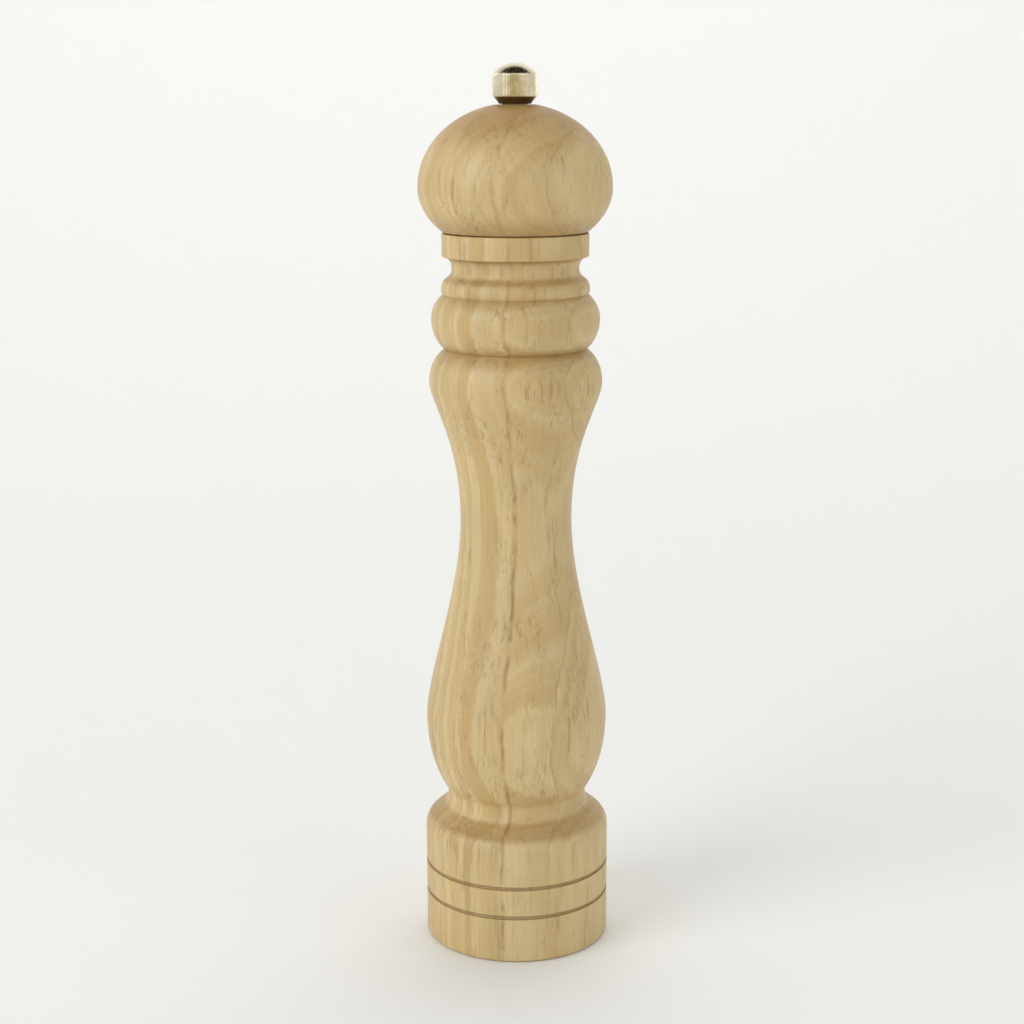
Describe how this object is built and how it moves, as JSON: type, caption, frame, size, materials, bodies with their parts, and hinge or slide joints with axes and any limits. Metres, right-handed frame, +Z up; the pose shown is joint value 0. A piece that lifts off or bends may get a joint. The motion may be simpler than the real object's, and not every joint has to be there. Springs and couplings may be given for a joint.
{
  "type": "pepper mill",
  "caption": "Tall turned wooden pepper mill with a domed head, a small knurled metal knob and a screw-adjusted grinder in its foot.",
  "frame": {"origin": "centre of the foot, on the surface that the mill stands on", "axes": "+Z up along the mill's turning axis; +X to the right and +Y away, seen from the front"},
  "size_m": [0.0642, 0.0642, 0.3],
  "materials": {
    "wood": "clear satin lacquer, turned",
    "knob_plate": "bright nickel plate, straight knurl",
    "brass": "machined",
    "nylon": "natural moulded nylon",
    "black_plastic": "moulded, fine texture",
    "bar_steel": "bright drawn bar",
    "stamped_steel": "zinc plated, stamped",
    "burr_steel": "sintered and hardened",
    "spring_steel": "drawn wire",
    "screw_steel": "zinc plated"
  },
  "bodies": {
    "base": {"body": "wood", "grinder_housing": "black_plastic", "grinder_screws": "screw_steel", "bridge": "stamped_steel", "stator": "burr_steel", "stator_retainer": "stamped_steel"},
    "drive": {"shaft_bush": "nylon", "spring": "spring_steel"},
    "shaft": {"shaft": "bar_steel", "rotor_core": "black_plastic", "rotor": "burr_steel", "rotor_washer": "stamped_steel", "rotor_clip": "spring_steel", "spring_washer": "stamped_steel"},
    "head": {"head": "wood", "drive_plate": "stamped_steel", "drive_plate_screws": "screw_steel"},
    "washer": {"knob_washer": "nylon"},
    "knob": {"knob": "knob_plate", "knob_insert": "brass"}
  },
  "joints": [
    {"name": "mill_turn", "type": "hinge", "parent": "base", "child": "drive", "pos_m": [0, 0, 0.0299], "axis": [0, 0, 1], "continuous": true},
    {"name": "grind_adjust", "type": "slide", "parent": "drive", "child": "shaft", "axis": [0, 0, 1], "range_m": [-0.0012, 0.0004], "deforming": ["spring"]},
    {"name": "head_lift", "type": "slide", "parent": "drive", "child": "head", "axis": [0, 0, 1], "range_m": [0, 0.07]},
    {"name": "knob_lift", "type": "slide", "parent": "head", "child": "washer", "axis": [0, 0, 1], "range_m": [0, 0.02]},
    {"name": "knob_turn", "type": "hinge", "parent": "washer", "child": "knob", "pos_m": [0, 0, 0.2867], "axis": [0, 0, 1], "range_deg": [-180, 540]}
  ],
  "couplings": [
    {"joint": "knob_turn", "follows": "grind_adjust", "rad_per_m": -7854}
  ]
}
